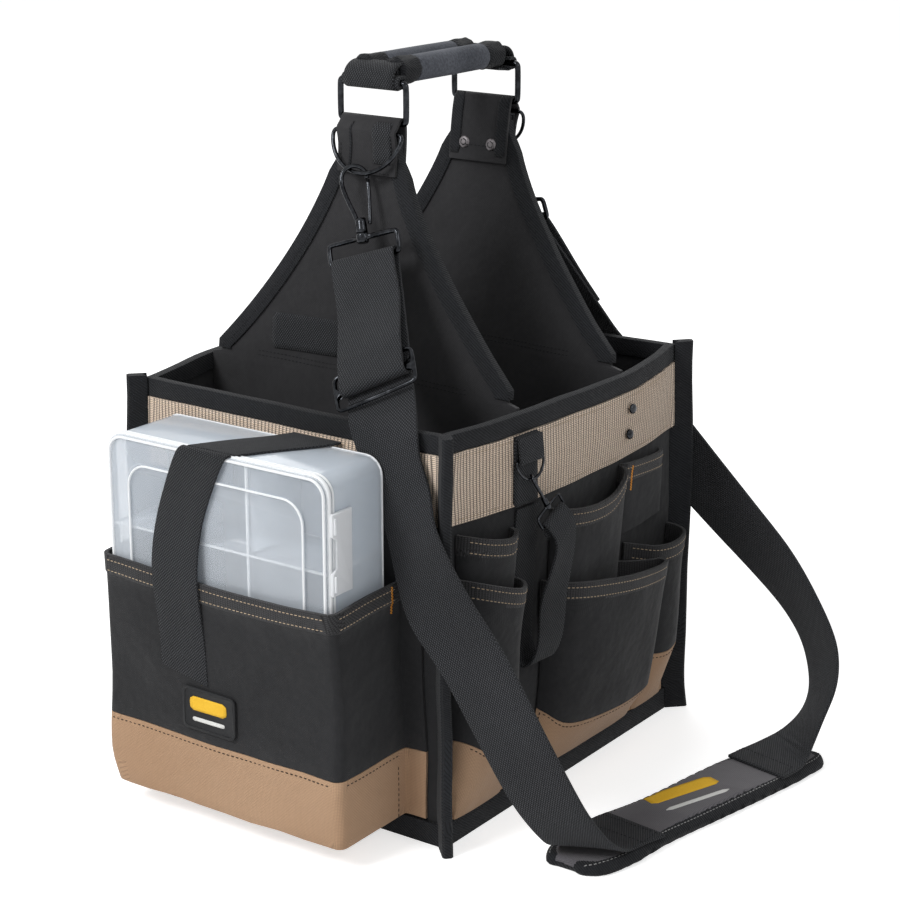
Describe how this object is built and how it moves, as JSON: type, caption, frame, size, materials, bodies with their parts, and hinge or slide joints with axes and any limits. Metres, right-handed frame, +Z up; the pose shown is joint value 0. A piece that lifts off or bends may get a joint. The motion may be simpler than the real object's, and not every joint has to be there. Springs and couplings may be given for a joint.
{
  "type": "tool tote",
  "caption": "Open-top fabric tool tote with a ringed grip handle, outside pockets, slide-in parts box and clip-on padded shoulder strap.",
  "frame": {"origin": "centre of the bag's footprint on the floor, at the underside of its floor panel", "axes": "+Z up; -Y toward the parts-box pocket; +X toward the tool pockets and the shoulder strap"},
  "size_m": [0.4108, 0.3679, 0.4777],
  "materials": {
    "black_fabric": "matte woven canvas",
    "binding": "matte twill binding",
    "webbing": "matte basket-woven webbing",
    "tan_fabric": "matte ribbed canvas",
    "board": "matte",
    "foam": "soft matte foam",
    "dark_metal": "dark glossy plating",
    "clear_plastic": "milky clear",
    "patch_rubber": "matte"
  },
  "bodies": {
    "bag": {"wall_right": "black_fabric", "wall_left": "black_fabric", "wall_front": "black_fabric", "wall_rear": "black_fabric", "floor_panel": "black_fabric", "handle_panel_front": "black_fabric", "handle_panel_rear": "black_fabric", "shoulder_pad": "black_fabric", "box_pocket": "black_fabric", "tool_pocket_upper_front": "black_fabric", "tool_pocket_lower_front": "black_fabric", "tool_pocket_upper_rear": "black_fabric", "tool_pocket_lower_middle": "black_fabric", "tool_pocket_lower_rear": "black_fabric", "side_pockets": "black_fabric", "tab_front": "black_fabric", "tab_rear": "black_fabric", "rim_binding": "binding", "base_binding": "binding", "corner_front_right": "binding", "corner_front_left": "binding", "corner_rear_right": "binding", "corner_rear_left": "binding", "panel_edge_front": "binding", "panel_edge_rear": "binding", "strap_front": "webbing", "strap_rear": "webbing", "box_strap": "webbing", "lanyard_tab": "webbing", "lanyard_webbing": "webbing", "upper_band": "tan_fabric", "box_pocket_boot": "tan_fabric", "tool_pocket_boots": "tan_fabric", "base_board": "board", "snap_swivel_front": "dark_metal", "snap_swivel_rear": "dark_metal", "strap_slider": "dark_metal", "lanyard_hook": "dark_metal", "box_tray": "clear_plastic", "box_lid": "clear_plastic", "box_dividers": "clear_plastic", "pocket_patch": "patch_rubber"},
    "front_ring": {"ring_front": "dark_metal"},
    "handle": {"handle_belt": "webbing", "grip_cap_front": "binding", "grip_cap_rear": "binding", "grip_near": "foam", "grip_far": "foam"},
    "rear_ring": {"ring_rear": "dark_metal"},
    "front_d_ring": {"dring_front": "dark_metal"},
    "rear_d_ring": {"dring_rear": "dark_metal"},
    "front_hook": {"snap_hook_front": "dark_metal"},
    "front_gate": {"snap_gate_front": "dark_metal"},
    "rear_hook": {"snap_hook_rear": "dark_metal"},
    "rear_gate": {"snap_gate_rear": "dark_metal"},
    "flap": {"box_strap_flap": "webbing"},
    "upper_latch": {"latch_upper": "clear_plastic"},
    "lower_latch": {"latch_lower": "clear_plastic"},
    "small_ring": {"lanyard_ring": "dark_metal"},
    "small_gate": {"lanyard_gate": "dark_metal"}
  },
  "joints": [
    {"name": "ring_front_swing", "type": "hinge", "parent": "bag", "child": "front_ring", "pos_m": [0, -0.04639, 0.43677], "axis": [1, 0, 0], "range_deg": [-45, 45]},
    {"name": "handle_pivot", "type": "hinge", "parent": "front_ring", "child": "handle", "pos_m": [0, -0.04639, 0.46277], "axis": [1, 0, 0], "range_deg": [-45, 45]},
    {"name": "ring_rear_swing", "type": "hinge", "parent": "bag", "child": "rear_ring", "pos_m": [0, 0.0799, 0.43593], "axis": [1, 0, 0], "range_deg": [-45, 45]},
    {"name": "dring_front_swing", "type": "hinge", "parent": "bag", "child": "front_d_ring", "pos_m": [0, -0.05188, 0.43126], "axis": [1, 0, 0], "range_deg": [-0.1, 1.2]},
    {"name": "dring_rear_swing", "type": "hinge", "parent": "bag", "child": "rear_d_ring", "pos_m": [0, 0.08398, 0.42931], "axis": [1, 0, 0], "range_deg": [-1.2, 1]},
    {"name": "snap_front_swivel", "type": "hinge", "parent": "bag", "child": "front_hook", "pos_m": [0.01049, -0.07258, 0.36716], "axis": [-0.319, 0.258, 0.912], "range_deg": [-0.5, 12]},
    {"name": "snap_front_gate", "type": "hinge", "parent": "front_hook", "child": "front_gate", "pos_m": [0.01128, -0.066, 0.37851], "axis": [0.5299, -0.7492, 0.3973], "range_deg": [0, 20], "stiffness_Nm_per_rad": 0.02},
    {"name": "snap_rear_swivel", "type": "hinge", "parent": "bag", "child": "rear_hook", "pos_m": [0.00737, 0.10115, 0.36284], "axis": [-0.198, -0.173, 0.9648], "range_deg": [-12, 2.5]},
    {"name": "snap_rear_gate", "type": "hinge", "parent": "rear_hook", "child": "rear_gate", "pos_m": [0.00975, 0.09576, 0.37459], "axis": [-0.5477, -0.7968, -0.2552], "range_deg": [0, 20], "stiffness_Nm_per_rad": 0.02},
    {"name": "box_flap_lift", "type": "hinge", "parent": "bag", "child": "flap", "pos_m": [-0.013, -0.2, 0.25385], "axis": [-1, 0, 0], "range_deg": [0, 96]},
    {"name": "latch_upper_turn", "type": "hinge", "parent": "bag", "child": "upper_latch", "pos_m": [0.08295, -0.18025, 0.20494], "axis": [0, 0, 1], "range_deg": [0, 100]},
    {"name": "latch_lower_turn", "type": "hinge", "parent": "bag", "child": "lower_latch", "pos_m": [0.08295, -0.18025, 0.06746], "axis": [0, 0, 1], "range_deg": [0, 6]},
    {"name": "lanyard_ring_swing", "type": "hinge", "parent": "bag", "child": "small_ring", "pos_m": [0.1341, -0.066, 0.24165], "axis": [0.096, 0.9954, 0], "range_deg": [-1.5, 1.5]},
    {"name": "lanyard_gate_turn", "type": "hinge", "parent": "bag", "child": "small_gate", "pos_m": [0.13897, -0.05778, 0.21541], "axis": [0.6831, 0.5672, 0.4601], "range_deg": [0, 20], "stiffness_Nm_per_rad": 0.006}
  ],
  "couplings": [
    {"joint": "handle_pivot", "follows": "ring_front_swing", "ratio": -1},
    {"joint": "ring_rear_swing", "follows": "ring_front_swing", "ratio": 1}
  ]
}
